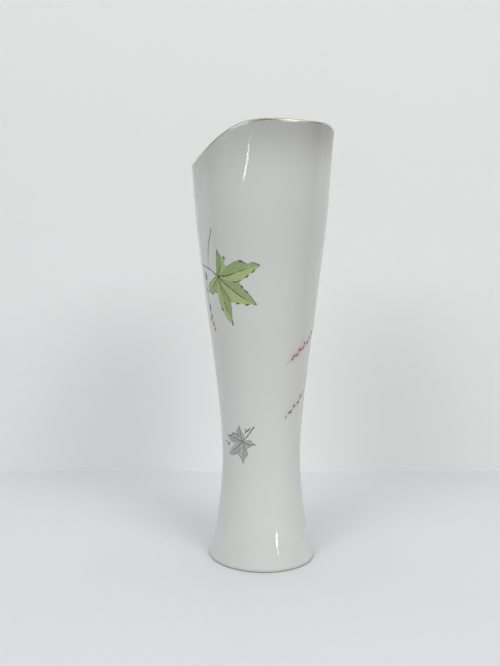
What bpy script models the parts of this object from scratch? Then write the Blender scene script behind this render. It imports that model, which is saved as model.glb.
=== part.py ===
"""Flower vase: a waisted, flared porcelain vase with a waved lip and maple-leaf decoration.

Metres, +Z up. The origin is the centre of the foot, on the surface the vase stands on.
The vase is mirror-symmetric about the XZ plane: the lip is highest at +X and lowest near -X.
Angles are measured about +Z from +X, anticlockwise seen from above.
"""

from math import cos, pi, radians, sin

import bmesh
import bpy
import numpy as np
from mathutils import Vector
from mathutils.geometry import delaunay_2d_cdt

MM = 0.001

# Body: radius at each height, joined by a smooth curve.
FOOT_RADIUS = 33.7 * MM
WAIST_HEIGHT, WAIST_RADIUS = 58.0 * MM, 25.0 * MM
PROFILE = (
    (0.0, FOOT_RADIUS),
    (5.0 * MM, 32.2 * MM),
    (15.0 * MM, 29.6 * MM),
    (32.0 * MM, 27.0 * MM),
    (WAIST_HEIGHT, WAIST_RADIUS),
    (90.0 * MM, 26.5 * MM),
    (120.0 * MM, 29.85 * MM),
    (152.0 * MM, 34.3 * MM),
    (184.0 * MM, 38.4 * MM),
    (214.0 * MM, 42.1 * MM),
    (240.0 * MM, 44.15 * MM),
    (268.0 * MM, 46.5 * MM),
)
LONG_SIDE, SHORT_SIDE = 1.0065, 0.9495  # the plan is a slightly oval circle, longer along X

# Lip: its height is a sum of cosines of the angle from +X.
LIP_WAVE = (258.0 * MM, 9.9 * MM, -0.9 * MM, -1.0 * MM, 1.9 * MM)
LIP_RADIUS = 1.3 * MM
LEVEL_TOP = 150.0 * MM  # the rings are level up to here, and lean into the lip's wave above

# Inside and underneath.
WALL_AT_LIP, WALL_AT_FLOOR = 2 * LIP_RADIUS, 3.6 * MM
FLOOR_HEIGHT = 9.0 * MM
FLOOR_FILLET = 6.0 * MM
FOOT_EDGE = 0.8 * MM
FOOT_RING_WIDTH = 5.0 * MM
RECESS_DEPTH = 2.4 * MM
RECESS_SLOPE = 2.0 * MM

# Fired decoration.
GILT_FROM, GILT_TO = radians(20), radians(120)
COAT_GAP = 0.15 * MM
COAT_THICKNESS = 0.12 * MM

SEGMENTS = 64
OUTER_RINGS_LEVEL, OUTER_RINGS_LEANING = 17, 11
FOOT_CROWDING = 1.15  # above 1, the rings sit closer together near the foot
SHARP_EDGE = radians(35)  # edges that turn more than this are not shaded smooth
INNER_RINGS = 20
ARC_STEPS = 5

# Decoration is drawn flat, in millimetres along the girth and up, and then laid on the glaze.
GREEN_LEAF_AT = (radians(-116.2), 175.0 * MM)
GREEN_LEAF = (
    (-3.1, 0.4), (-0.9, 4.2), (-1.0, 9.6), (0.9, 16.4), (3.2, 12.6), (5.8, 10.9), (5.6, 7.6),
    (6.9, 5.3), (11.6, 7.3), (17.0, 8.0), (20.2, 6.5), (23.2, 6.7), (28.0, 5.2), (24.8, 2.2),
    (20.6, -1.0), (14.3, -4.0), (17.1, -6.6), (20.3, -10.2), (26.0, -17.6), (19.2, -18.0),
    (13.4, -17.0), (8.8, -15.6), (9.3, -22.0), (9.2, -29.6), (4.3, -24.6), (1.6, -20.0),
    (-0.6, -14.6), (-1.8, -9.4), (-7.2, -10.4), (-13.3, -8.3), (-9.8, -3.6), (-6.0, -1.0),
)
GREY_LEAF_AT = (radians(-98.5), 75.0 * MM)
GREY_LEAF = (
    (1.2, 1.6), (0.2, 5.4), (-2.0, 9.8), (-3.8, 6.0), (-7.0, 4.8), (-12.0, 2.6), (-8.8, -0.6),
    (-5.6, -1.6), (-8.4, -5.0), (-11.2, -8.8), (-6.0, -8.2), (-2.8, -7.0), (-1.6, -9.8),
    (0.1, -13.4), (1.8, -9.8), (3.4, -7.3), (3.0, -4.2), (5.2, -3.2), (8.7, -1.4), (5.2, 1.0),
)

# Stems, twigs and sprigs: points (angle in degrees, height in mm) along the middle. A sprig's
# berries are at these shares of its length.
STEM_WIDTH = 0.7
LEAF_STEM = ((-121.8, 177.3), (-126.0, 179.2), (-131.0, 180.9), (-143.7, 183.9), (-158.0, 187.5))
LEFT_TWIG = ((-119.6, 204.0), (-122.4, 199.0), (-126.2, 193.7), (-128.2, 188.5), (-130.2, 182.6))
GREY_STEM = ((-93.8, 78.2), (-88.5, 80.4), (-81.5, 84.5))
LEFT_SPRIG = ((-139.5, 179.6), (-137.3, 172.0), (-138.4, 160.0), (-136.0, 151.0), (-130.6, 143.3))
UPPER_SPRIG = (
    (22.0, 150.0), (8.0, 144.0), (-4.4, 138.0), (-17.5, 131.8), (-30.0, 127.4), (-43.6, 121.9),
)
LOWER_SPRIG = (
    (26.0, 121.0), (10.0, 113.5), (-1.0, 106.5), (-14.0, 99.8), (-26.0, 95.0), (-39.8, 89.7),
)
BERRY_WIDTH = 1.9
LEFT_BERRIES = (0.12, 0.55, 0.72, 0.85, 0.96)
UPPER_BERRIES = (0.33, 0.45, 0.55, 0.66, 0.76, 0.86)
LOWER_BERRIES = (0.36, 0.48, 0.60, 0.70, 0.80, 0.90)
STEPS_PER_SPAN = 6  # points drawn along a stem for each of its own points
MESH_STEP = 3.0  # millimetres between the points that carry a transfer around the curve
MESH_CLEARANCE = 1.0  # millimetres from these points to the outline's corners


def smooth_curve(stations):
    """A natural cubic spline through (place, value) stations, as a function of place."""
    place, value = (np.array(column, float) for column in zip(*stations))
    span = np.diff(place)
    count = len(place)
    system = np.eye(count)
    bend = np.zeros(count)
    for i in range(1, count - 1):
        system[i, i - 1 : i + 2] = span[i - 1], 2 * (span[i - 1] + span[i]), span[i]
        slope_before = (value[i] - value[i - 1]) / span[i - 1]
        slope_after = (value[i + 1] - value[i]) / span[i]
        bend[i] = 6 * (slope_after - slope_before)
    bend = np.linalg.solve(system, bend)

    def at(where):
        i = int(np.clip(np.searchsorted(place, where, "right") - 1, 0, count - 2))
        before = (place[i + 1] - where) / span[i]
        after = (where - place[i]) / span[i]
        return (
            before * value[i]
            + after * value[i + 1]
            + ((before**3 - before) * bend[i] + (after**3 - after) * bend[i + 1]) * span[i] ** 2 / 6
        )

    return at


body_radius = smooth_curve(PROFILE)


def lip_height(angle):
    return sum(size * cos(turns * angle) for turns, size in enumerate(LIP_WAVE))


def wall(height):
    share = min(height / LIP_WAVE[0], 1.0)
    return WALL_AT_FLOOR + (WALL_AT_LIP - WALL_AT_FLOOR) * share


def place(angle, radius, height):
    return Vector((LONG_SIDE * radius * cos(angle), SHORT_SIDE * radius * sin(angle), height))


def lip_centre(angle):
    """Radius and height of the centre of the lip's round edge."""
    height = lip_height(angle) - LIP_RADIUS
    return body_radius(height) - LIP_RADIUS, height


def outer_station(angle, step):
    """Radius and height of one ring of the outer wall. Rings past the level ones lean into the lip."""
    _, top = lip_centre(angle)
    if step <= OUTER_RINGS_LEVEL:
        height = FOOT_EDGE + (LEVEL_TOP - FOOT_EDGE) * (step / OUTER_RINGS_LEVEL) ** FOOT_CROWDING
    else:
        height = LEVEL_TOP + (top - LEVEL_TOP) * (step - OUTER_RINGS_LEVEL) / OUTER_RINGS_LEANING
    return body_radius(height), height


def inner_station(angle, step):
    """Radius and height of one ring of the inner wall, from the lip down to the floor's fillet."""
    _, top = lip_centre(angle)
    low = FLOOR_HEIGHT + FLOOR_FILLET
    share = step / INNER_RINGS
    level = low + (LIP_WAVE[0] - low) * (1 - share)
    lean = max((level - LEVEL_TOP) / (LIP_WAVE[0] - LEVEL_TOP), 0.0)
    height = level + (top - LIP_WAVE[0]) * lean
    return body_radius(height) - wall(height), height


def lip_arc(angle, start, end, radius, steps):
    """Points (radius, height) of an arc about the lip's centre; 0 points outwards and pi/2 up."""
    across, up = lip_centre(angle)
    turns = (start + (end - start) * i / steps for i in range(steps + 1))
    return [(across + radius * cos(turn), up + radius * sin(turn)) for turn in turns]


def body_section(angle):
    """The body's section at one angle, from the underside's recess round to the floor inside."""
    ring_outside = FOOT_RADIUS - FOOT_EDGE
    ring_inside = ring_outside - FOOT_RING_WIDTH
    section = [(ring_inside - RECESS_SLOPE, RECESS_DEPTH), (ring_inside, 0.0), (ring_outside, 0.0)]
    section += [outer_station(angle, step) for step in range(OUTER_RINGS_LEVEL + OUTER_RINGS_LEANING)]
    section += lip_arc(angle, 0.0, pi, LIP_RADIUS, 2 * ARC_STEPS)
    section += [inner_station(angle, step) for step in range(1, INNER_RINGS + 1)]
    low_radius, low_height = section[-1]
    for i in range(1, ARC_STEPS + 1):
        turn = pi / 2 * i / ARC_STEPS
        radius = low_radius - FLOOR_FILLET * (1 - cos(turn))
        section.append((radius, low_height - FLOOR_FILLET * sin(turn)))
    return section


def turned(name, section_at, closed_section):
    """A solid whose section goes right round the vase.

    A section that isn't closed on itself is closed by a middle point at each of its two ends.
    """
    mesh = bmesh.new()
    rings = []
    for i in range(SEGMENTS):
        angle = 2 * pi * i / SEGMENTS
        section = section_at(angle)
        rings.append([mesh.verts.new(place(angle, radius, height)) for radius, height in section])
    count = len(rings[0])
    for i in range(SEGMENTS):
        here, after = rings[i], rings[(i + 1) % SEGMENTS]
        for j in range(count if closed_section else count - 1):
            k = (j + 1) % count
            mesh.faces.new((here[j], after[j], after[k], here[k]))
    if not closed_section:
        for j, turn in ((0, 1), (count - 1, -1)):
            middle = mesh.verts.new((0.0, 0.0, rings[0][j].co.z))
            for i in range(SEGMENTS):
                pair = (rings[i][j], rings[(i + 1) % SEGMENTS][j])[::turn]
                mesh.faces.new((middle, pair[1], pair[0]))
    return finished(name, mesh)


def finished(name, mesh):
    bmesh.ops.recalc_face_normals(mesh, faces=mesh.faces)
    data = bpy.data.meshes.new(name)
    mesh.to_mesh(data)
    mesh.free()
    data.shade_smooth()
    data.set_sharp_from_angle(angle=SHARP_EDGE)
    piece = bpy.data.objects.new(name, data)
    bpy.context.scene.collection.objects.link(piece)
    return piece


def gilt_section(angle):
    inside = lip_arc(angle, GILT_FROM, GILT_TO, LIP_RADIUS + COAT_GAP, ARC_STEPS)
    outside = lip_arc(angle, GILT_FROM, GILT_TO, LIP_RADIUS + COAT_GAP + COAT_THICKNESS, ARC_STEPS)
    return inside[::-1] + outside


def split_long_sides(outline, longest):
    points = []
    for (x0, y0), (x1, y1) in zip(outline, outline[1:] + outline[:1]):
        parts = int(np.ceil(np.hypot(x1 - x0, y1 - y0) / longest))
        points += [(x0 + (x1 - x0) * i / parts, y0 + (y1 - y0) * i / parts) for i in range(parts)]
    return points


def inside_points(outline, spacing):
    """A grid of points inside the outline and well clear of its corners."""
    corners = np.array(outline)
    low, high = corners.min(axis=0), corners.max(axis=0)
    ahead = np.roll(corners, -1, axis=0)
    found = []
    for x in np.arange(low[0] + spacing / 2, high[0], spacing):
        for y in np.arange(low[1] + spacing / 2, high[1], spacing):
            spans = (corners[:, 1] > y) != (ahead[:, 1] > y)
            slope = (ahead[spans, 0] - corners[spans, 0]) / (ahead[spans, 1] - corners[spans, 1])
            crossings = corners[spans, 0] + (y - corners[spans, 1]) * slope
            clear = np.hypot(*(corners - (x, y)).T).min() > MESH_CLEARANCE
            if clear and (crossings > x).sum() % 2:
                found.append((x, y))
    return found


def laid_on(name, outline, at):
    """A thin solid of this flat outline, in millimetres, laid on the glaze about (angle, height)."""
    angle, height = at
    girth = body_radius(height)
    border = split_long_sides(list(outline), MESH_STEP)
    flat = [Vector(point) for point in border + inside_points(border, MESH_STEP)]
    sides = [(i, (i + 1) % len(border)) for i in range(len(border))]
    points, _, faces, *_ = delaunay_2d_cdt(flat, sides, [], 1, 1e-6)
    mesh = bmesh.new()
    layers = []
    for lift in (COAT_GAP, COAT_GAP + COAT_THICKNESS):
        layer = []
        for x, y in points:
            up = height + y * MM
            layer.append(mesh.verts.new(place(angle + x * MM / girth, body_radius(up) + lift, up)))
        layers.append(layer)
    for face in faces:
        mesh.faces.new([layers[1][i] for i in face])
        mesh.faces.new([layers[0][i] for i in reversed(face)])
    edges = {}
    for face in faces:
        for a, b in zip(face, face[1:] + face[:1]):
            edges[a, b] = (b, a)
    for (a, b), back in edges.items():
        if back not in edges:
            mesh.faces.new((layers[1][b], layers[1][a], layers[0][a], layers[0][b]))
    return finished(name, mesh)


def stroke(path, berries=()):
    """The flat outline of a stem along these points, swelling at its berries, and its place."""
    first_angle, first_height = radians(path[0][0]), path[0][1]
    girth = body_radius(first_height * MM) / MM
    share = np.linspace(0.0, 1.0, len(path))
    across = smooth_curve([(s, (radians(p[0]) - first_angle) * girth) for s, p in zip(share, path)])
    up = smooth_curve([(s, p[1] - first_height) for s, p in zip(share, path)])
    steps = np.linspace(0.0, 1.0, STEPS_PER_SPAN * len(path) + 1)
    middle = np.array([(across(s), up(s)) for s in steps])
    along = np.gradient(middle, axis=0)
    along /= np.linalg.norm(along, axis=1)[:, None]
    length = np.linalg.norm(np.diff(middle, axis=0), axis=1).sum()
    half = np.full(len(steps), STEM_WIDTH / 2)
    for berry in berries:
        swell = 1 - ((steps - berry) * length / (BERRY_WIDTH / 2)) ** 2
        half = np.maximum(half, BERRY_WIDTH / 2 * np.sqrt(np.clip(swell, 0, 1)))
    side = np.stack([-along[:, 1], along[:, 0]], axis=1) * half[:, None]
    outline = [tuple(p) for p in middle - side] + [tuple(p) for p in (middle + side)[::-1]]
    return outline, (first_angle, first_height * MM)


def painted(piece, name, colour, roughness=0.3, metallic=0.0):
    material = bpy.data.materials.new(name)
    material.use_nodes = True
    shader = material.node_tree.nodes["Principled BSDF"]
    shader.inputs["Base Color"].default_value = (*colour, 1.0)
    shader.inputs["Roughness"].default_value = roughness
    shader.inputs["Metallic"].default_value = metallic
    piece.data.materials.append(material)


def main():
    for thing in list(bpy.data.objects):
        bpy.data.objects.remove(thing)

    body = turned("porcelain_body", body_section, closed_section=False)
    painted(body, "white_glaze", (0.67, 0.69, 0.67), roughness=0.05)
    rim = turned("gilt_rim", gilt_section, closed_section=True)
    painted(rim, "gilding", (0.34, 0.31, 0.20), roughness=0.4, metallic=1.0)

    green_leaf = laid_on("green_leaf_transfer", GREEN_LEAF, GREEN_LEAF_AT)
    painted(green_leaf, "leaf_green", (0.34, 0.43, 0.20))
    grey_leaf = laid_on("grey_leaf_transfer", GREY_LEAF, GREY_LEAF_AT)
    painted(grey_leaf, "leaf_grey", (0.39, 0.40, 0.39))

    leaf_stem = laid_on("leaf_stem_transfer", *stroke(LEAF_STEM))
    painted(leaf_stem, "stem_brown", (0.12, 0.12, 0.10))
    left_twig = laid_on("left_twig_transfer", *stroke(LEFT_TWIG))
    painted(left_twig, "twig_grey", (0.18, 0.18, 0.17))
    grey_stem = laid_on("grey_stem_transfer", *stroke(GREY_STEM))
    painted(grey_stem, "stem_grey", (0.15, 0.16, 0.15))

    left_sprig = laid_on("left_sprig_transfer", *stroke(LEFT_SPRIG, LEFT_BERRIES))
    painted(left_sprig, "berry_left", (0.26, 0.12, 0.15))
    upper_sprig = laid_on("upper_sprig_transfer", *stroke(UPPER_SPRIG, UPPER_BERRIES))
    painted(upper_sprig, "berry_upper", (0.26, 0.10, 0.14))
    lower_sprig = laid_on("lower_sprig_transfer", *stroke(LOWER_SPRIG, LOWER_BERRIES))
    painted(lower_sprig, "berry_lower", (0.27, 0.12, 0.15))


main()
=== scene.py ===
"""Looks of the flower vase: white glazed porcelain, a gilt line on its waved lip, fired leaves.

Everything is in the row frame: metres, +Z up, origin at the centre of the foot, the lip's highest
point towards +X. Angles are about +Z from +X, anticlockwise from above. The shape's driving sizes
are the CAD part's own, in millimetres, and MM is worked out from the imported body's height.
"""

from math import cos, pi, radians, sin

import bpy
import numpy as np
from mathutils import Matrix, Vector
from mathutils.geometry import delaunay_2d_cdt


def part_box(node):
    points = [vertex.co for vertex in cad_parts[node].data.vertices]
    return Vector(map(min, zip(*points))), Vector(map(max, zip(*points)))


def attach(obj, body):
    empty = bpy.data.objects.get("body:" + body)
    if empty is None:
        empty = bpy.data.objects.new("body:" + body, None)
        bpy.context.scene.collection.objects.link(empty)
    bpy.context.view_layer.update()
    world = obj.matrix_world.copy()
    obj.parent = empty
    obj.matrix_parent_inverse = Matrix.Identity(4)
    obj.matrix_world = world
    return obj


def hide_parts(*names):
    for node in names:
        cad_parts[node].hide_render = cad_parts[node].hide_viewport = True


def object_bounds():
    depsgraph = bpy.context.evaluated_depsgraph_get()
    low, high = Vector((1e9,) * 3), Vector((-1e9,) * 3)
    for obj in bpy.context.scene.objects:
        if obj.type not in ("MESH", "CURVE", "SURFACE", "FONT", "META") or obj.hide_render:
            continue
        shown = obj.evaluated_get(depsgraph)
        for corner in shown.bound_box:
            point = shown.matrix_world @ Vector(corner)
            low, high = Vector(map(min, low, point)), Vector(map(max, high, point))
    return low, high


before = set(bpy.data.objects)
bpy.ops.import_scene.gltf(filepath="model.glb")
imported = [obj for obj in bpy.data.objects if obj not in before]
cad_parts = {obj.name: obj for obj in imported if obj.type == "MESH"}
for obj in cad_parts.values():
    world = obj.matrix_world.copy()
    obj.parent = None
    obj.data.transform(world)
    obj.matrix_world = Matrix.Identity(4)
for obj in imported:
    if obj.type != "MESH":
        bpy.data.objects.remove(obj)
cad_low, cad_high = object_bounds()
body_low, body_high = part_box("porcelain_body")

# ---------------------------------------------------------------- shape, in millimetres
FOOT_RADIUS = 33.7
PROFILE = (
    (0.0, FOOT_RADIUS), (5.0, 32.2), (15.0, 29.6), (32.0, 27.0), (58.0, 25.0), (90.0, 26.5),
    (120.0, 29.85), (152.0, 34.3), (184.0, 38.4), (214.0, 42.1), (240.0, 44.15), (268.0, 46.5),
)
LONG_SIDE, SHORT_SIDE = 1.0065, 0.9495  # the plan is a slightly oval circle, longer along X
LIP_WAVE = (258.0, 9.9, -0.9, -1.0, 1.9)  # the lip's height as a sum of cosines of the angle
LIP_RADIUS = 1.3
LEVEL_TOP = 150.0  # rings are level up to here, and lean into the lip's wave above
WALL_AT_LIP, WALL_AT_FLOOR = 2 * LIP_RADIUS, 3.6
FLOOR_HEIGHT, FLOOR_FILLET = 9.0, 6.0
FOOT_EDGE, FOOT_RING_WIDTH = 0.8, 5.0
RECESS_DEPTH, RECESS_SLOPE = 2.4, 2.0

MM = (body_high.z - body_low.z) / sum(LIP_WAVE)

# how finely each stretch of the body's section is divided
SEGMENTS = 192
RECESS_STEPS, FOOT_RING_STEPS, EDGE_STEPS = 5, 6, 5
OUTER_LEVEL_RINGS, OUTER_LEANING_RINGS = 110, 84
INNER_RINGS = 90
LIP_STEPS, FILLET_STEPS = 14, 8
SHARP_EDGE = 35  # degrees between faces, above which the shading breaks


def smooth_curve(stations):
    """A natural cubic spline through (place, value) stations, as a function of an array of places."""
    place, value = (np.array(column, float) for column in zip(*stations))
    span = np.diff(place)
    count = len(place)
    system = np.eye(count)
    bend = np.zeros(count)
    for i in range(1, count - 1):
        system[i, i - 1 : i + 2] = span[i - 1], 2 * (span[i - 1] + span[i]), span[i]
        bend[i] = 6 * ((value[i + 1] - value[i]) / span[i] - (value[i] - value[i - 1]) / span[i - 1])
    bend = np.linalg.solve(system, bend)

    def at(where):
        i = np.clip(np.searchsorted(place, where, "right") - 1, 0, count - 2)
        before = (place[i + 1] - where) / span[i]
        after = (where - place[i]) / span[i]
        curve = (before**3 - before) * bend[i] + (after**3 - after) * bend[i + 1]
        return before * value[i] + after * value[i + 1] + curve * span[i] ** 2 / 6

    return at


body_radius = smooth_curve(PROFILE)


def lip_height(angle):
    return sum(size * np.cos(turns * angle) for turns, size in enumerate(LIP_WAVE))


def wall(height):
    return WALL_AT_FLOOR + (WALL_AT_LIP - WALL_AT_FLOOR) * np.minimum(height / LIP_WAVE[0], 1.0)


def place(angle, radius, height):
    """Points in metres, as an array of rows, of matching arrays of angles, radii and heights."""
    angle, radius, height = np.broadcast_arrays(angle, radius, height)
    x, y = LONG_SIDE * radius * np.cos(angle), SHORT_SIDE * radius * np.sin(angle)
    return np.stack([x, y, height], axis=-1) * MM


def lip_arc(angle, turn, radius):
    """Radius and height of a point round the lip's edge; turn 0 points outwards and pi/2 up."""
    top = lip_height(angle) - LIP_RADIUS
    return body_radius(top) - LIP_RADIUS + radius * np.cos(turn), top + radius * np.sin(turn)


def body_section(angle):
    """The body's section at these angles: a list of (radius, height, bare clay) all the way round."""
    flat = np.zeros_like(angle)
    top = lip_height(angle) - LIP_RADIUS
    foot = FOOT_RADIUS
    ring_inside = foot - FOOT_EDGE - FOOT_RING_WIDTH
    section = [(flat + ring_inside - RECESS_SLOPE, flat + RECESS_DEPTH, 0.0)]
    for share in np.linspace(0, 1, RECESS_STEPS + 1)[1:-1]:
        inwards, up = RECESS_SLOPE * (1 - share), RECESS_DEPTH * (1 - share)
        section.append((flat + ring_inside - inwards, flat + up, 0.0))
    for out in np.linspace(0.0, FOOT_RING_WIDTH, FOOT_RING_STEPS + 1):
        section.append((flat + ring_inside + out, flat, 1.0))
    for turn in np.linspace(0, pi / 2, EDGE_STEPS + 1)[1:]:
        out = foot - FOOT_EDGE + (body_radius(FOOT_EDGE) - foot + FOOT_EDGE) * sin(turn)
        section.append((flat + out, flat + FOOT_EDGE * (1 - cos(turn)), 1.0 if turn < pi / 3 else 0.0))
    for share in np.linspace(0, 1, OUTER_LEVEL_RINGS + 1)[1:]:
        height = FOOT_EDGE + (LEVEL_TOP - FOOT_EDGE) * share
        section.append((flat + body_radius(height), flat + height, 0.0))
    for share in np.linspace(0, 1, OUTER_LEANING_RINGS + 1)[1:-1]:
        height = LEVEL_TOP + (top - LEVEL_TOP) * share
        section.append((body_radius(height), height, 0.0))
    for turn in np.linspace(0, pi, LIP_STEPS + 1):
        section.append((*lip_arc(angle, turn, LIP_RADIUS), 0.0))
    low = FLOOR_HEIGHT + FLOOR_FILLET
    for share in np.linspace(0, 1, INNER_RINGS + 1)[1:]:
        level = low + (LIP_WAVE[0] - low) * (1 - share)
        lean = max((level - LEVEL_TOP) / (LIP_WAVE[0] - LEVEL_TOP), 0.0)
        height = level + (top - LIP_WAVE[0]) * lean
        section.append((body_radius(height) - wall(height), height, 0.0))
    low_radius = section[-1][0]
    for turn in np.linspace(0, pi / 2, FILLET_STEPS + 1)[1:]:
        radius, height = low_radius - FLOOR_FILLET * (1 - cos(turn)), low - FLOOR_FILLET * sin(turn)
        section.append((radius, flat + height, 0.0))
    return section


def finished(name, points, faces, sharp=SHARP_EDGE, **attributes):
    """A smooth-shaded mesh object on body root, with a float attribute for each named array."""
    mesh = bpy.data.meshes.new(name)
    mesh.from_pydata([tuple(p) for p in points], [], faces)
    for key, values in attributes.items():
        held = mesh.attributes.new(key, "FLOAT", "POINT")
        held.data.foreach_set("value", np.asarray(values, np.float32))
    mesh.shade_smooth()
    mesh.set_sharp_from_angle(angle=radians(sharp))
    piece = bpy.data.objects.new(name, mesh)
    bpy.context.scene.collection.objects.link(piece)
    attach(piece, "root")
    return piece


def ring_faces(rows, columns, closed):
    """Quads between the rows of a grid of points that goes right round, in vertex order."""
    faces = []
    for i in range(rows):
        after = (i + 1) % rows
        for j in range(columns if closed else columns - 1):
            k = (j + 1) % columns
            faces.append((i * columns + j, after * columns + j, after * columns + k, i * columns + k))
    return faces


# ---------------------------------------------------------------- decoration, flat in millimetres
# x runs along the girth and y up, from each leaf's vein junction at (angle in degrees, height).
GREEN_LEAF_AT = (-116.2, 175.0)
GREEN_LEAF = (
    (-3.0, 0.3), (-0.8, 4.0), (-0.5, 7.0), (-0.1, 11.0), (0.9, 16.3), (2.6, 13.4), (4.6, 10.9),
    (5.8, 11.0), (6.2, 9.4), (5.8, 7.6), (6.8, 5.2), (9.0, 6.4), (12.6, 7.6), (16.6, 8.1),
    (18.0, 7.2), (20.2, 6.4), (23.2, 6.6), (25.8, 6.1), (27.9, 5.2), (26.2, 3.4), (24.8, 2.2),
    (23.0, 0.8), (20.9, -0.4), (19.2, -2.0), (16.8, -3.0), (14.2, -3.9), (16.2, -6.3),
    (17.8, -7.8), (19.7, -10.0), (21.9, -12.1), (23.9, -14.7), (26.0, -17.6), (22.6, -17.2),
    (20.2, -17.5), (18.6, -17.9), (16.4, -16.6), (14.2, -16.9), (12.2, -16.6), (8.8, -15.4),
    (9.0, -18.6), (8.8, -22.1), (8.7, -25.2), (9.1, -29.6), (6.6, -26.9), (4.3, -24.0),
    (2.4, -20.9), (0.8, -19.4), (0.5, -16.4), (-0.7, -13.0), (-1.6, -9.4), (-3.4, -9.2),
    (-5.6, -9.8), (-7.6, -10.1), (-9.8, -9.0), (-13.2, -8.3), (-11.4, -6.0), (-9.6, -3.8),
    (-7.2, -2.1), (-4.3, -0.9),
)
GREEN_RIBS = (
    ((0.0, 0.0), (2.2, 4.3), (3.3, 8.2)),
    ((0.0, 0.0), (5.7, -0.2), (12.8, 1.3), (20.7, 3.4)),
    ((0.0, 0.0), (5.2, -4.7), (12.1, -9.8), (20.0, -15.0)),
    ((0.0, 0.0), (1.3, -6.3), (3.0, -13.2), (6.6, -22.8)),
    ((0.0, 0.0), (-3.6, -3.6), (-9.9, -7.3)),
)


def length_along(path):
    return np.concatenate([[0.0], np.cumsum(np.linalg.norm(np.diff(path, axis=0), axis=1))])


def smooth_path(points, step):
    """Points about step apart on a smooth curve through these."""
    points = np.array(points, float)
    along = length_along(points)
    where = np.linspace(0.0, along[-1], max(int(np.ceil(along[-1] / step)) + 1, 3))
    if len(points) == 2:
        return np.stack([np.interp(where, along, column) for column in points.T], axis=1)
    columns = [smooth_curve(list(zip(along, column)))(where) for column in points.T]
    return np.stack(columns, axis=1)


def split_sides(outline, longest):
    points = []
    for (x0, y0), (x1, y1) in zip(outline, outline[1:] + outline[:1]):
        parts = int(np.ceil(np.hypot(x1 - x0, y1 - y0) / longest))
        points += [(x0 + (x1 - x0) * i / parts, y0 + (y1 - y0) * i / parts) for i in range(parts)]
    return points


def within(outline, x, y):
    corners = np.array(outline)
    ahead = np.roll(corners, -1, axis=0)
    spans = (corners[:, 1] > y) != (ahead[:, 1] > y)
    slope = (ahead[spans, 0] - corners[spans, 0]) / (ahead[spans, 1] - corners[spans, 1])
    return (corners[spans, 0] + (y - corners[spans, 1]) * slope > x).sum() % 2 == 1


def inside_points(outline, spacing):
    corners = np.array(outline)
    low, high = corners.min(axis=0), corners.max(axis=0)
    found = []
    for x in np.arange(low[0] + spacing / 2, high[0], spacing):
        for y in np.arange(low[1] + spacing / 2, high[1], spacing):
            clear = np.hypot(*(corners - (x, y)).T).min() > spacing / 3
            if clear and within(outline, x, y):
                found.append((x, y))
    return found


FILL_STEP = 0.7  # the size of a washed area's faces
LINE_STEP = 0.6  # the spacing of points along a painted line
SIDE_STEP = 2.0  # the longest side of a line's or a dab's outline
SWELL_AT = (0.0, 0.25, 0.7, 1.0)  # where along a line its width is full, between its two ends
THINNEST = 0.12  # the least share of its width that a line keeps
DAB_CORNERS, DAB_POINT = 12, 0.12


class Sheet:
    """Flat shapes, in millimetres about a point of the glaze, gathered into one thin piece."""

    def __init__(self, at, low, high):
        self.angle, self.height = radians(at[0]), at[1]
        self.girth = float(body_radius(at[1]))
        self.low, self.high = low, high
        self.points, self.faces, self.flat = [], [], []

    def on_glaze(self, flat, lift):
        up = self.height + flat[:, 1]
        return place(self.angle + flat[:, 0] / self.girth, body_radius(up) + lift, up)

    def add(self, outline, step, inner=True):
        """One closed thin solid of this outline."""
        border = split_sides(list(outline), step)
        flat = [Vector(p) for p in border + (inside_points(border, step) if inner else [])]
        sides = [(i, (i + 1) % len(border)) for i in range(len(border))]
        made, _, faces, *_ = delaunay_2d_cdt(flat, sides, [], 1, 1e-6)
        spots = np.array([tuple(p) for p in made])
        first = len(self.points)
        second = first + len(spots)
        self.points += list(self.on_glaze(spots, self.high)) + list(self.on_glaze(spots, self.low))
        self.flat += [tuple(p) for p in spots] * 2
        edges = set()
        for face in faces:
            self.faces.append([first + i for i in face])
            self.faces.append([second + i for i in reversed(face)])
            edges |= set(zip(face, face[1:] + face[:1]))
        for a, b in edges:
            if (b, a) not in edges:
                self.faces.append((first + b, first + a, second + a, second + b))

    def stroke(self, path, width, ends, wobble):
        """A painted line along a path. ends are the shares of its width left at its two ends."""
        middle = smooth_path(path, LINE_STEP)
        along = np.gradient(middle, axis=0)
        along /= np.linalg.norm(along, axis=1)[:, None]
        share = np.linspace(0, 1, len(middle))
        swell = np.interp(share, SWELL_AT, (ends[0], 1, 1, ends[1]))
        swell = np.maximum(swell, THINNEST) * (1 + wobble * np.sin(share * 23 + path[0][0] * 5))
        side = np.stack([-along[:, 1], along[:, 0]], axis=1) * (width / 2 * swell)[:, None]
        there, back = middle - side, (middle + side)[::-1]
        self.add([tuple(p) for p in [*there, *back]], SIDE_STEP, inner=False)

    def spot(self, centre, long, short, bearing):
        """An oval dab of paint, a little pointed at one end."""
        turn = np.linspace(0, 2 * pi, DAB_CORNERS + 1)[:-1]
        x = long * np.cos(turn) + DAB_POINT * long * np.cos(2 * turn)
        y = short * np.sin(turn)
        c, s = cos(radians(bearing)), sin(radians(bearing))
        outline = [(centre[0] + c * a - s * b, centre[1] + s * a + c * b) for a, b in zip(x, y)]
        self.add(outline, SIDE_STEP, inner=False)

    def piece(self, name, material, slot, **attributes):
        made = finished(name, self.points, self.faces, **attributes)
        made.data.materials.append(material)
        return made

    def flat_points(self):
        return np.array(self.flat)


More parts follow.
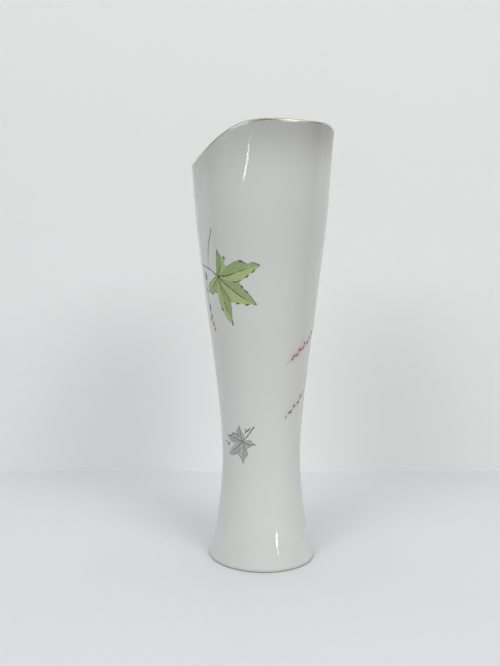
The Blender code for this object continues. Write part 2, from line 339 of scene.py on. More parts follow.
# ---------------------------------------------------------------- materials
class Shader:
    """A Principled material with short calls for the nodes that feed it."""

    def __init__(self, name, colour, roughness, metallic=0.0, **sockets):
        self.material = bpy.data.materials.new(name)
        self.material.use_nodes = True
        self.tree = self.material.node_tree
        self.bsdf = self.tree.nodes["Principled BSDF"]
        self.bsdf.inputs["Base Color"].default_value = (*colour, 1.0)
        self.bsdf.inputs["Roughness"].default_value = roughness
        self.bsdf.inputs["Metallic"].default_value = metallic
        for key, value in sockets.items():
            self.bsdf.inputs[key.replace("_", " ")].default_value = value
        self.where = self.tree.nodes.new("ShaderNodeTexCoord").outputs["Object"]

    def node(self, kind, links=(), **settings):
        made = self.tree.nodes.new(kind)
        for key, value in settings.items():
            setattr(made, key, value)
        for socket, source in links:
            if isinstance(source, (int, float, tuple)):
                made.inputs[socket].default_value = source
            else:
                self.tree.links.new(source, made.inputs[socket])
        return made

    def noise(self, scale, detail=2.0, roughness=0.5, stretch=(1.0, 1.0, 1.0)):
        """Noise whose features are about 1/scale metres across, longer where stretch is below 1."""
        moved = self.node("ShaderNodeMapping", [("Vector", self.where), ("Scale", stretch)])
        links = [("Vector", moved.outputs[0]), ("Scale", scale)]
        links += [("Detail", detail), ("Roughness", roughness)]
        return self.node("ShaderNodeTexNoise", links).outputs["Fac"]

    def ramp(self, source, low, high, to_low=0.0, to_high=1.0):
        links = [("Value", source), ("From Min", low), ("From Max", high)]
        links += [("To Min", to_low), ("To Max", to_high)]
        return self.node("ShaderNodeMapRange", links).outputs["Result"]

    def held(self, name):
        return self.node("ShaderNodeAttribute", attribute_name=name).outputs["Fac"]

    def mix(self, share, first, second):
        """A colour from first (share 0) to second (share 1)."""
        made = self.node("ShaderNodeMix", data_type="RGBA")
        for index, source in ((0, share), (6, first), (7, second)):
            if isinstance(source, tuple):
                made.inputs[index].default_value = (*source, 1.0)
            elif isinstance(source, float):
                made.inputs[index].default_value = source
            else:
                self.tree.links.new(source, made.inputs[index])
        return made.outputs[2]

    def math(self, operation, first, second):
        return self.node("ShaderNodeMath", [(0, first), (1, second)], operation=operation).outputs[0]

    def wire(self, source, socket):
        self.tree.links.new(source, self.bsdf.inputs[socket])

    def bump(self, *layers):
        """Bumps of (height source, depth in metres), one over another."""
        normal = None
        for source, depth in layers:
            links = [("Height", source), ("Distance", depth), ("Strength", 1.0)]
            links += [("Normal", normal)] if normal else []
            normal = self.node("ShaderNodeBump", links).outputs["Normal"]
        self.wire(normal, "Normal")


def porcelain():
    """White porcelain under a clear glossy glaze, bare on the foot ring, tinted by the sprigs' haze,
    with painted shade below the lip and a painted contact shadow on the foot's edge.
    """
    s = Shader("glazed_porcelain", (0.64, 0.66, 0.64), 0.06, IOR=1.5)
    cloud = s.ramp(s.noise(22, 3), 0.3, 0.7)
    glaze = s.mix(cloud, (0.650, 0.676, 0.644), (0.690, 0.692, 0.669))
    pooled = s.ramp(s.noise(140, 2), 0.35, 0.65, 0.0, 0.25)
    glaze = s.mix(pooled, glaze, (0.662, 0.685, 0.663))
    glaze = s.mix(s.held("blush"), glaze, (0.66, 0.42, 0.44))
    # painted shade below the lip, carried by the lip attribute
    glaze = s.mix(s.held("lip"), glaze, (0.23, 0.225, 0.22))
    specks = s.node("ShaderNodeTexVoronoi", [("Vector", s.where), ("Scale", 95.0)], feature="F1")
    near_speck = s.ramp(specks.outputs["Distance"], 0.025, 0.045, 1.0, 0.0)
    speck = s.math("MULTIPLY", near_speck, s.ramp(s.noise(31, 1), 0.66, 0.70))
    glaze = s.mix(s.math("MULTIPLY", speck, 0.55), glaze, (0.20, 0.17, 0.13))
    clay = s.mix(s.noise(900, 3), (0.58, 0.54, 0.48), (0.70, 0.67, 0.61))
    bare = s.held("bare")
    # painted contact shadow: the foot's lowest edge darkened towards near black
    s.wire(s.mix(s.held("painted_contact_shadow"), s.mix(bare, glaze, clay), (0.10, 0.10, 0.095)), "Base Color")
    gloss = s.ramp(s.noise(60, 3), 0.3, 0.7, 0.04, 0.065)
    s.wire(s.math("ADD", gloss, s.math("MULTIPLY", bare, 0.62)), "Roughness")
    grain = s.math("MULTIPLY", s.noise(2600, 2), bare)
    ripple = s.noise(38, 1, stretch=(1, 1, 0.5))
    s.bump((ripple, 0.00009), (s.noise(420, 1), 0.0000009), (grain, 0.00006))
    return s.material


def gilding():
    """Thin bright gold, brushed on, a little worn and uneven, painted paler away from the camera's side
    as a reflection.
    """
    s = Shader("gilding", (0.41, 0.385, 0.27), 0.4, metallic=1.0)
    worn = s.ramp(s.noise(420, 4, 0.6), 0.42, 0.66)
    gold = s.mix(worn, (0.43, 0.405, 0.28), (0.32, 0.31, 0.24))
    # painted reflection: pale gold away from the side that faces the camera
    s.wire(s.mix(s.held("rubbed"), gold, (0.80, 0.77, 0.64)), "Base Color")
    s.wire(s.ramp(s.noise(900, 3), 0.3, 0.7, 0.32, 0.48), "Roughness")
    s.bump((s.noise(1500, 2), 0.000006))
    return s.material


def enamel(name, first, second, share, mottle, roughness=0.16):
    """Fired on-glaze colour from first to second by a held attribute, mottled like a printed wash."""
    s = Shader(name, first, roughness, IOR=1.5)
    wash = s.mix(s.held(share), first, second)
    lighter = tuple(min(c * 1.12, 1.0) for c in second)
    wash = s.mix(s.ramp(s.noise(650, 3, 0.6), 0.4, 0.75, 0.0, mottle), wash, lighter)
    s.wire(wash, "Base Color")
    s.wire(s.ramp(s.noise(1100, 2), 0.3, 0.7, roughness * 0.7, roughness * 1.4), "Roughness")
    s.bump((s.noise(1400, 2), 0.000004))
    return s.material


# ---------------------------------------------------------------- sprigs, on the glaze
# Stems run through (angle in degrees, height) points. Each dab of paint is (angle, height, length,
# width, bearing in degrees, share of grey), in millimetres, with bearing 0 along the girth.
UPPER_STEM = (
    (22.0, 150.0), (8.0, 145.2), (-4.4, 138.2), (-14.0, 133.6), (-26.0, 129.2), (-36.0, 124.6),
    (-44.0, 122.1),
)
UPPER_DABS = (
    (20.0, 150.2, 1.7, 0.9, 40, 0.5), (14.5, 148.8, 1.8, 1.0, 65, 0.2),
    (11.0, 146.0, 1.6, 0.9, 20, 0.4), (5.5, 145.2, 1.9, 1.2, 70, 0.5),
    (-0.3, 141.2, 2.4, 1.5, 80, 0.9), (-4.6, 138.2, 2.3, 1.5, 60, 0.85),
    (-9.6, 135.3, 2.4, 1.4, 62, 0.6), (-16.2, 134.8, 1.8, 1.1, 55, 0.35),
    (-18.3, 131.8, 2.2, 1.0, 65, 0.6), (-23.9, 130.8, 2.0, 1.5, 30, 0.0),
    (-27.3, 127.8, 2.1, 1.1, 60, 0.45), (-31.7, 127.3, 1.7, 1.1, 35, 0.4),
    (-34.3, 125.4, 1.9, 1.0, 45, 0.5),
)
LOWER_STEM = (
    (26.0, 122.0), (14.0, 116.5), (5.5, 111.0), (2.0, 106.6), (-10.0, 101.4), (-20.0, 97.0),
    (-30.0, 93.6), (-39.0, 89.4),
)
LOWER_DABS = (
    (23.0, 121.6, 1.7, 0.9, 60, 0.4), (19.0, 118.0, 1.8, 1.0, 30, 0.2),
    (13.0, 117.2, 1.6, 0.9, 70, 0.5), (9.0, 113.2, 1.8, 0.9, 60, 0.7),
    (-6.2, 104.5, 1.4, 0.7, 60, 0.95), (-11.1, 101.9, 2.1, 1.1, 68, 0.75),
    (-16.9, 98.3, 2.1, 1.3, 25, 0.7), (-24.4, 96.4, 2.1, 1.2, 50, 0.5),
    (-30.1, 92.9, 2.1, 1.1, 65, 0.55), (-33.3, 92.6, 1.5, 0.8, 30, 0.8),
    (-38.4, 89.8, 1.6, 0.6, 50, 1.0),
)
LEFT_STEM = ((-140.5, 180.8), (-138.6, 172.0), (-138.0, 162.0), (-136.4, 152.0), (-130.4, 142.6))
LEFT_DABS = (
    (-137.3, 176.0, 4.2, 1.5, 88, 0.6), (-138.6, 168.0, 1.8, 0.9, 80, 0.7),
    (-136.6, 156.9, 4.4, 1.8, 92, 0.4), (-134.6, 151.6, 2.4, 1.5, 100, 0.8),
    (-137.8, 149.6, 2.0, 1.3, 70, 0.75), (-132.6, 146.5, 2.4, 1.5, 110, 0.6),
    (-130.6, 143.2, 2.4, 1.2, 115, 0.6),
)
DAB_SWELL = 0.62  # half-sizes are this share of a dab's length and width
LEAF_STEM = (
    (-117.0, 175.4), (-121.6, 177.4), (-126.0, 179.4), (-131.4, 181.0), (-144.3, 183.8),
    (-158.0, 187.5),
)
LEFT_TWIG = ((-119.3, 204.0), (-122.4, 199.0), (-126.1, 193.9), (-128.0, 189.0), (-130.4, 182.6))
GREY_STEM = ((-97.6, 75.8), (-93.4, 77.5), (-88.5, 80.2), (-85.2, 82.3), (-81.4, 84.6))

# each sprig's dabs, how far their pink spreads in millimetres, and how deep it is
HAZES = ((UPPER_DABS, 1.8, 0.50), (LOWER_DABS, 1.8, 0.42), (LEFT_DABS, 2.6, 0.32))
DEEPEST_HAZE = 0.55


def glaze_mm(points, origin):
    """(angle in degrees, height) points as flat millimetres about an origin of the same kind."""
    points = np.array(points, float)[:, :2]
    girth = float(body_radius(origin[1]))
    return np.stack([np.radians(points[:, 0] - origin[0]) * girth, points[:, 1] - origin[1]], axis=1)


def haze(angle, height):
    """How pink the glaze is at these places: a soft cloud round every dab of berry colour."""
    total = np.zeros(len(angle))
    for dabs, spread, depth in HAZES:
        for dab in dabs:
            across = (angle - radians(dab[0]) + pi) % (2 * pi) - pi
            apart = (across * body_radius(dab[1])) ** 2 + (height - dab[1]) ** 2
            total += depth * (1.1 - dab[5]) * np.exp(-apart / (2 * spread**2))
    return np.minimum(total, DEEPEST_HAZE)


# ---------------------------------------------------------------- the body and its gilt line
CONTACT_SHADOW_TOP, CONTACT_SHADOW_FADE, CONTACT_SHADOW_DEPTH = 0.9, 0.3, 0.58  # painted contact shadow: the foot's edge is darkened up to here
LIP_SHADE_REACH = 20.0  # painted shade: the glaze is darkened for about this far below the lip
LIP_SHADE, LIP_SHADE_AT_PEAK = 0.22, 0.43


def make_body():
    angle = np.arange(SEGMENTS) * 2 * pi / SEGMENTS
    section = body_section(angle)
    radius = np.stack([s[0] for s in section], axis=1)
    height = np.stack([s[1] for s in section], axis=1)
    bare = np.tile([s[2] for s in section], (SEGMENTS, 1))
    points = place(angle[:, None], radius, height).reshape(-1, 3)
    columns = len(section)
    faces = ring_faces(SEGMENTS, columns, closed=False)
    outside = columns - INNER_RINGS - FILLET_STEPS - LIP_STEPS // 2
    blush = haze(np.repeat(angle, columns), height.reshape(-1)).reshape(SEGMENTS, columns)
    blush[:, outside:] = 0.0
    # painted shade: darker glaze just below the lip, deepest where the lip stands tallest
    below = lip_height(angle)[:, None] - height
    tall = np.clip((lip_height(angle) - LIP_WAVE[0]) / LIP_WAVE[1], 0, 1)[:, None]
    lip = (LIP_SHADE + LIP_SHADE_AT_PEAK * tall) * np.exp(-((below / LIP_SHADE_REACH) ** 2))
    lip[:, outside:] = 0.0
    # painted contact shadow along the foot's bottom edge
    painted_contact_shadow = np.clip((CONTACT_SHADOW_TOP - height) / CONTACT_SHADOW_FADE, 0, 1) * CONTACT_SHADOW_DEPTH
    painted_contact_shadow *= radius > FOOT_RADIUS - FOOT_EDGE + 0.05
    held = {"blush": blush, "bare": bare, "lip": lip, "painted_contact_shadow": painted_contact_shadow}
    held = {name: [*values.reshape(-1), 0.0, 0.0] for name, values in held.items()}
    under, floor = len(points), len(points) + 1
    ends = place(0.0, 0.0, np.array([RECESS_DEPTH, FLOOR_HEIGHT]))
    for i in range(SEGMENTS):
        here, after = i * columns, (i + 1) % SEGMENTS * columns
        faces.append((under, after, here))
        faces.append((floor, here + columns - 1, after + columns - 1))
    body = finished("vase_body", [*points, *ends], faces, **held)
    body.data.materials.append(porcelain())
    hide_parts("porcelain_body")
    return body


GILT_LIFT, GILT_THICK = 0.02, 0.03
GILT_LOWER, GILT_UPPER, GILT_SWAY = -12, 112, 5  # degrees round the lip, from outwards
GILT_TURNS, GILT_STEPS = 2 * SEGMENTS, 10
GILT_SHARP_EDGE = 50


SHEEN_DARK_AT, SHEEN_REACH = -72, 0.5  # painted reflection: the gold is dark round this angle, the side that faces the camera, and painted pale further off


def make_gilt():
    """The gold line over the lip, its edges a little uneven as a banding brush leaves them."""
    angle = np.arange(GILT_TURNS) * 2 * pi / GILT_TURNS
    sway = np.sin(7 * angle + 1.0) + 0.6 * np.sin(17 * angle) + 0.4 * np.sin(41 * angle)
    lower = radians(GILT_LOWER) + radians(GILT_SWAY) * sway
    sway = np.sin(6 * angle) + 0.6 * np.sin(19 * angle + 2.0)
    upper = radians(GILT_UPPER) + radians(GILT_SWAY) * sway
    shares = np.linspace(0, 1, GILT_STEPS + 1)
    rows = []
    for lift, order in ((GILT_LIFT, shares[::-1]), (GILT_LIFT + GILT_THICK, shares)):
        for share in order:
            rows.append(lip_arc(angle, lower + (upper - lower) * share, LIP_RADIUS + lift))
    radius = np.stack([r[0] for r in rows], axis=1)
    height = np.stack([r[1] for r in rows], axis=1)
    points = place(angle[:, None], radius, height).reshape(-1, 3)
    # painted reflection: the gold pales with its angle from the side that faces the camera
    apart = (angle - radians(SHEEN_DARK_AT) + pi) % (2 * pi) - pi
    rubbed = np.repeat(1 - np.exp(-((apart / SHEEN_REACH) ** 4)), len(rows))
    faces = ring_faces(GILT_TURNS, len(rows), closed=True)
    gilt = finished("gilt_line", points, faces, sharp=GILT_SHARP_EDGE, rubbed=rubbed)
    gilt.data.materials.append(gilding())
    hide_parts("gilt_rim")


# ---------------------------------------------------------------- the green leaf
FILL = (0.012, 0.026)  # how far a wash's two faces stand off the glaze
INK = (0.030, 0.042)  # and how far a line's do
RIB_REACH = 9.0  # each rib divides its lobe this far past its own end
TONE_EDGE = 0.5  # the width over which one tone turns into the other
FULL_INK_WIDTH, INK_FADE = 0.55, 0.3


def lobe_tone(spots, ribs):
    """0 on the dark side of the nearest rib and 1 on the light side, turning over softly."""
    nearest = np.full(len(spots), np.inf)
    tone = np.zeros(len(spots))
    for rib in ribs:
        path = smooth_path(rib, 0.8)
        ahead = (path[-1] - path[-2]) / np.linalg.norm(path[-1] - path[-2])
        path = np.vstack([path, path[-1] + ahead * RIB_REACH])
        start, run = path[:-1], np.diff(path, axis=0)
        gap = spots[:, None] - start[None]
        share = np.clip((gap * run).sum(-1) / (run**2).sum(-1), 0, 1)
        away = gap - share[..., None] * run
        far = np.hypot(away[..., 0], away[..., 1])
        best = far.argmin(axis=1)
        rows = np.arange(len(spots))
        side = run[best, 0] * gap[rows, best, 1] - run[best, 1] * gap[rows, best, 0]
        signed = -np.sign(side) * far[rows, best]
        closer = far[rows, best] < nearest
        nearest = np.where(closer, far[rows, best], nearest)
        tone = np.where(closer, np.clip(0.5 + signed / TONE_EDGE, 0, 1), tone)
    return tone


GREEN_INK = (
    # veins
    (((0.0, 0.0), (1.0, 2.0), (2.2, 4.6), (3.2, 8.4)), 0.5, (1.0, 0.2)),
    (((0.0, 0.0), (2.6, 0.1), (5.7, -0.2), (9.0, 0.3), (12.8, 1.3)), 0.62, (1.0, 0.7)),
    (((13.6, 1.6), (17.3, 2.5), (20.9, 3.5)), 0.45, (0.6, 0.2)),
    (((0.0, 0.0), (5.2, -4.7), (9.4, -7.7)), 0.55, (1.0, 0.8)),
    (((9.8, -7.9), (14.1, -11.2), (20.2, -15.2)), 0.55, (0.8, 0.2)),
    (((0.0, 0.0), (1.3, -6.3), (3.0, -12.0)), 0.5, (1.0, 0.4)),
    (((3.1, -14.2), (4.8, -19.0), (6.8, -23.2)), 0.5, (0.6, 0.2)),
    (((3.1, -7.0), (6.2, -11.6), (8.2, -15.2), (8.5, -17.0)), 0.45, (0.4, 0.5)),
    (((0.0, 0.0), (-3.6, -3.6), (-7.0, -5.8), (-9.9, -7.3)), 0.5, (1.0, 0.2)),
    # broken outline
    (((-0.7, 3.6), (-0.6, 6.9), (-0.1, 10.8)), 0.3, (0.3, 0.6)),
    (((0.1, 11.6), (0.6, 14.0), (1.0, 16.3)), 0.45, (0.3, 1.0)),
    (((5.5, 11.6), (6.4, 9.6)), 0.75, (0.5, 0.4)),
    (((6.2, 5.4), (7.2, 5.0), (9.0, 6.2)), 0.4, (0.3, 0.3)),
    (((10.6, 7.0), (13.2, 7.9), (16.2, 8.3)), 0.32, (0.3, 0.8)),
    (((15.2, 8.4), (16.8, 8.1), (18.2, 7.4)), 0.7, (0.4, 0.5)),
    (((14.9, 7.0), (16.3, 7.5), (19.0, 6.9), (20.2, 6.2)), 0.5, (0.3, 0.8)),
    (((22.0, 6.8), (24.0, 6.8), (26.0, 6.2), (27.9, 5.2)), 0.5, (0.3, 1.0)),
    (((27.9, 5.2), (26.4, 4.0)), 0.45, (1.0, 0.2)),
    (((25.0, 2.9), (24.2, 1.8), (22.8, 0.9)), 0.75, (0.8, 0.2)),
    (((21.2, -0.2), (20.4, -1.0), (19.0, -1.9)), 0.8, (0.9, 0.2)),
    (((17.0, -2.8), (14.6, -3.9), (12.6, -4.0), (10.0, -3.5)), 0.6, (0.3, 0.3)),
    (((14.6, -4.3), (16.0, -6.0)), 0.35, (0.4, 0.6)),
    (((16.1, -6.0), (17.0, -6.9), (17.9, -7.9)), 0.8, (0.7, 0.3)),
    (((18.4, -8.6), (19.8, -10.0), (20.8, -10.5)), 0.8, (0.3, 0.9)),
    (((20.6, -10.8), (22.6, -13.0), (24.2, -15.2), (25.9, -17.5)), 0.42, (0.4, 1.0)),
    (((25.9, -17.6), (23.4, -17.2)), 0.4, (1.0, 0.2)),
    (((21.4, -17.2), (20.2, -17.3), (18.8, -18.0)), 0.85, (0.3, 0.9)),
    (((14.9, -16.7), (13.8, -16.6), (12.4, -16.9)), 0.85, (0.3, 0.8)),
    (((9.0, -18.0), (8.8, -22.0), (8.8, -26.0)), 0.35, (0.3, 0.8)),
    (((8.8, -26.2), (9.0, -28.0), (9.2, -29.6)), 0.8, (0.4, 0.9)),
    (((0.6, -19.0), (1.5, -19.8), (2.3, -21.0)), 0.95, (0.9, 0.3)),
    (((-1.3, -10.6), (-0.7, -13.0), (0.1, -15.6), (0.6, -18.6)), 0.35, (0.3, 0.7)),
    (((2.6, -21.4), (4.6, -24.6), (6.8, -27.4)), 0.3, (0.3, 0.3)),
    (((-1.8, -9.2), (-2.5, -9.1), (-3.4, -9.4)), 0.7, (0.8, 0.3)),
    (((-6.2, -9.7), (-7.2, -10.2), (-8.4, -9.6)), 0.8, (0.4, 0.4)),
    (((-9.8, -9.0), (-11.6, -8.5), (-13.1, -8.3)), 0.4, (0.3, 0.9)),
    (((-12.0, -6.6), (-9.6, -3.7), (-7.2, -2.0)), 0.6, (0.3, 0.7)),
    (((-6.6, -1.8), (-4.3, -0.9), (-2.0, -0.3)), 0.45, (0.5, 0.3)),
)


def draw_ink(sheet, strokes, wobble):
    """Adds the strokes to a sheet. Returns how faint each point is: thin strokes carry less ink."""
    faint = []
    for path, width, ends in strokes:
        sheet.stroke(path, width, ends, wobble=wobble)
        share = min(max((FULL_INK_WIDTH - width) / INK_FADE, 0.0), 1.0)
        faint += [share] * (len(sheet.points) - len(faint))
    return faint


def make_green_leaf():
    fill = Sheet(GREEN_LEAF_AT, *FILL)
    fill.add(GREEN_LEAF, FILL_STEP)
    wash = enamel("leaf_green_wash", (0.305, 0.390, 0.184), (0.412, 0.512, 0.225), "tone", 0.35)
    leaf = fill.piece("green_leaf", wash, "leaf_green", tone=lobe_tone(fill.flat_points(), GREEN_RIBS))
    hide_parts("green_leaf_transfer")
    lines = Sheet(GREEN_LEAF_AT, *INK)
    faint = draw_ink(lines, GREEN_INK, 0.12)
    ink = enamel("leaf_ink", (0.060, 0.085, 0.050), (0.215, 0.265, 0.150), "faint", 0.25)
    lines.piece("green_leaf_lines", ink, "leaf_green", faint=faint)


# ---------------------------------------------------------------- the grey leaf
GREY_LEAF_AT = (-98.5, 75.0)
GREY_LEAF = (
    (0.9, 1.2), (1.7, 2.8), (0.6, 4.6), (-0.5, 6.2), (-1.4, 7.8), (-2.0, 9.9), (-2.8, 7.8), (-3.9, 6.2),
    (-3.6, 4.6), (-4.8, 4.2), (-5.8, 4.6), (-7.0, 5.0), (-8.0, 3.4), (-9.6, 3.0), (-12.0, 2.6),
    (-10.4, 0.8), (-8.6, -0.5), (-7.0, -1.0), (-5.2, -1.4), (-7.2, -3.4), (-8.4, -5.0), (-9.8, -6.6),
    (-11.3, -8.8), (-8.6, -8.4), (-6.2, -8.6), (-4.4, -7.7), (-2.7, -7.0), (-2.9, -8.4), (-1.8, -9.4),
    (-0.7, -11.2), (0.1, -13.5), (0.9, -11.4), (1.6, -9.8), (3.5, -7.6), (2.6, -5.6), (2.6, -3.8),
    (4.6, -3.4), (5.0, -2.4), (6.8, -1.9), (8.8, -1.5), (6.6, -0.4), (5.2, 1.0), (3.2, 0.8),
)
GREY_RIBS = (
    ((0.0, 0.0), (-1.2, 4.0), (-1.9, 8.6)),
    ((0.0, 0.0), (-5.2, 1.7), (-10.8, 2.4)),
    ((0.0, 0.0), (-4.2, -3.7), (-10.0, -8.0)),
    ((0.0, 0.0), (0.2, -6.0), (0.1, -12.0)),
    ((0.0, 0.0), (3.6, -1.6), (8.0, -1.5)),
)
GREY_INK = (
    (((0.0, 0.0), (-0.8, 2.6), (-1.4, 5.6), (-1.9, 8.4)), 0.45, (0.8, 0.2)),
    (((0.3, 0.3), (-2.4, 0.7), (-5.2, 1.9), (-7.6, 2.4)), 0.6, (1.0, 0.3)),
    (((0.0, 0.0), (-2.2, -1.9), (-4.2, -3.8), (-8.2, -6.8)), 0.5, (1.0, 0.2)),
    (((0.0, 0.0), (0.4, -3.2), (0.2, -6.8), (0.1, -11.0)), 0.4, (0.8, 0.2)),
    (((0.3, -0.3), (2.6, -1.2), (4.8, -1.8), (7.2, -1.6)), 0.55, (1.0, 0.3)),
    (((-2.0, 9.9), (-3.0, 7.6), (-3.9, 6.2), (-3.5, 4.4)), 0.4, (0.9, 0.6)),
    (((-1.9, 9.6), (-1.2, 7.4), (0.6, 4.4), (1.6, 2.8)), 0.35, (0.8, 0.4)),
    (((-3.0, 3.4), (-4.8, 4.3), (-6.8, 5.0)), 0.6, (0.3, 0.8)),
    (((-6.6, 4.9), (-8.2, 3.3), (-11.9, 2.6)), 0.72, (0.8, 0.9)),
    (((-11.8, 2.5), (-9.8, 0.3), (-5.6, -1.3)), 0.32, (0.8, 0.4)),
    (((-5.4, -1.5), (-8.4, -5.0), (-11.2, -8.7)), 0.3, (0.4, 0.8)),
    (((-11.2, -8.8), (-6.2, -8.5), (-2.9, -7.0)), 0.4, (0.7, 0.8)),
    (((-2.8, -7.2), (-2.9, -8.3), (-1.8, -9.4), (0.1, -13.4)), 0.45, (0.6, 0.9)),
    (((0.2, -13.2), (1.4, -10.0), (3.5, -7.6)), 0.35, (0.7, 0.8)),
    (((3.4, -7.5), (2.5, -5.4), (2.7, -3.9), (4.6, -3.3)), 0.45, (0.8, 0.6)),
    (((4.6, -3.1), (5.2, -2.3), (8.7, -1.5)), 0.4, (0.6, 0.9)),
    (((8.6, -1.4), (6.2, -0.2), (5.2, 1.0), (3.0, 0.8)), 0.42, (0.7, 0.5)),
    (((-2.2, 4.6), (-3.4, 2.9), (-4.2, 2.3)), 0.4, (0.3, 0.6)),
    (((-1.5, -4.2), (-2.6, -5.8), (-2.8, -7.0)), 0.4, (0.4, 0.7)),
    (((1.2, -2.2), (1.4, -4.6), (2.2, -6.4)), 0.35, (0.3, 0.6)),
    (((-9.9, -1.6), (-11.0, -2.2), (-11.9, -3.6)), 0.75, (0.3, 0.9)),
    (((-11.9, -3.6), (-12.3, -2.2), (-12.6, -1.0)), 0.65, (0.7, 0.3)),
    (((-15.2, -1.2), (-14.0, -1.6)), 0.65, (0.4, 0.6)),
    (((1.7, 5.0), (2.7, 6.4), (4.0, 7.3), (5.2, 8.6)), 0.75, (0.3, 0.9)),
    (((2.7, 6.4), (2.4, 7.4), (1.8, 8.0)), 0.7, (0.7, 0.3)),
)


def make_grey_leaf():
    fill = Sheet(GREY_LEAF_AT, *FILL)
    fill.add(GREY_LEAF, FILL_STEP)
    wash = enamel("leaf_grey_wash", (0.375, 0.382, 0.368), (0.455, 0.465, 0.450), "tone", 0.5)
    leaf = fill.piece("grey_leaf", wash, "leaf_grey", tone=lobe_tone(fill.flat_points(), GREY_RIBS))
    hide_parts("grey_leaf_transfer")
    lines = Sheet(GREY_LEAF_AT, *INK)
    faint = draw_ink(lines, GREY_INK, 0.15)
    ink = enamel("grey_ink", (0.120, 0.126, 0.120), (0.300, 0.306, 0.298), "faint", 0.3)
    lines.piece("grey_leaf_lines", ink, "leaf_grey", faint=faint)


# ---------------------------------------------------------------- stems, twig and sprigs
SPRIG_STEM_WIDTH, SPRIG_STEM_SHADE = 0.3, 0.9
CRIMSON, BERRY_GREY = (0.290, 0.115, 0.150), (0.170, 0.155, 0.160)
STEMS = (
    # piece, CAD node, slot, path, width, colours at its two ends, shares of the width at its ends
    ("leaf_stem", "leaf_stem_transfer", "stem_brown", LEAF_STEM, 0.6,
     (0.06, 0.07, 0.05), (0.16, 0.15, 0.14), (0.8, 0.35)),
    ("left_twig", "left_twig_transfer", "twig_grey", LEFT_TWIG, 0.72,
     (0.09, 0.095, 0.085), (0.24, 0.25, 0.24), (0.8, 0.35)),
    ("grey_stem", "grey_stem_transfer", "twig_grey", GREY_STEM, 0.6,
     (0.12, 0.125, 0.12), (0.10, 0.105, 0.10), (0.8, 1.2)),
)


def make_stem(name, node, slot, path, width, first, second, ends):
    """A single thin painted line, fading from its first colour to its second along its length."""
    sheet = Sheet(path[0], *INK)
    flat = glaze_mm(path, path[0])
    sheet.stroke(flat, width, ends, wobble=0.15)
    from_start = np.hypot(*(sheet.flat_points() - flat[0]).T)
    along = np.clip(from_start / np.hypot(*(flat[-1] - flat[0])), 0, 1)
    ink = enamel(name + "_ink", first, second, "along", 0.35)
    line = sheet.piece(name, ink, slot, along=along)
    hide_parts(node)


def make_sprig(name, node, stem, dabs):
    """A thin stem with pairs of berry dabs, crimson to grey, as one thin piece."""
    sheet = Sheet(stem[0], *INK)
    sheet.stroke(glaze_mm(stem, stem[0]), SPRIG_STEM_WIDTH, (0.6, 0.4), wobble=0.5)
    shade = [SPRIG_STEM_SHADE] * len(sheet.points)
    for dab, centre in zip(dabs, glaze_mm(dabs, stem[0])):
        sheet.spot(centre, dab[2] * DAB_SWELL, dab[3] * DAB_SWELL, dab[4])
        shade += [dab[5]] * (len(sheet.points) - len(shade))
    paint = enamel(name + "_paint", CRIMSON, BERRY_GREY, "grey", 0.35)
    sprig = sheet.piece(name, paint, "berry_crimson", grey=shade)
    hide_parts(node)


# ---------------------------------------------------------------- stage, light and camera
CAMERA_AZIMUTH, CAMERA_DISTANCE, CAMERA_HEIGHT = 20.0, 0.358, 0.141
CAMERA_ASIDE = -0.0072  # the vase stands a little right of the middle of the view
CAMERA_LENS = 30.0
WALL_BEHIND = 0.207
STAGE_REACH = 3.0
TABLE_NEAR, TABLE_FAR = (0.70, 0.70, 0.73), (0.42, 0.42, 0.44)
TABLE_FADES = (0.34, 0.75)  # how far from the vase the pale table turns from near to far

# name, azimuth and elevation from the camera's side, side of the square, power, colour
SOFTBOX_DISTANCE = 1.6
SOFTBOXES = (
    ("softbox_left", -37, 31, 0.7, 8.0, (0.93, 1.0, 0.98)),
    ("softbox_right", 37, 31, 0.7, 9.3, (1.0, 0.975, 0.975)),
    ("overhead", 0, 84, 1.0, 6.3, (1.0, 1.0, 1.0)),
)
# narrow lamps that a glossy glaze shows as streaks: name, two ends beside the camera, width, power
STRIPS = (
    ("window_left", (-0.191, 0.499, 0.334), (-0.283, 0.454, 0.295), 0.0026, 0.028),
    ("pane_left", (-0.173, 0.506, 0.344), (-0.180, 0.503, 0.341), 0.003, 0.0015),
)
STRIP_AIM = 0.24  # the height that they face on the axis
# small round lamps for the foot: name, place beside the camera, radius, power
BEAMS = (
    *(("window_right", (0.269, 0.454, height), 0.0065, 0.11) for height in (0.004, 0.018, 0.032)),
    ("pane_right", (0.284, 0.443, 0.054), 0.004, 0.04),
)
BEAM_SPREAD, BEAM_BLEND = 22, 0.3
CEILING_FROM, CEILING_TO = (0.5, 0.9), (0.02, 0.72)  # the world's brightness by its Z direction
SURROUNDINGS = (0.76, 0.77, 0.77)


def level(azimuth):
    """Unit vectors from the vase towards a viewer at this azimuth, and to that viewer's right."""
    a = radians(azimuth)
    return Vector((sin(a), -cos(a), 0.0)), Vector((cos(a), sin(a), 0.0))


def stage_sheet(name, corners, material):
    mesh = bpy.data.meshes.new(name)
    mesh.from_pydata(corners, [], [(0, 1, 2, 3)])
    mesh.materials.append(material)
    sheet = bpy.data.objects.new(name, mesh)
    bpy.context.scene.collection.objects.link(sheet)


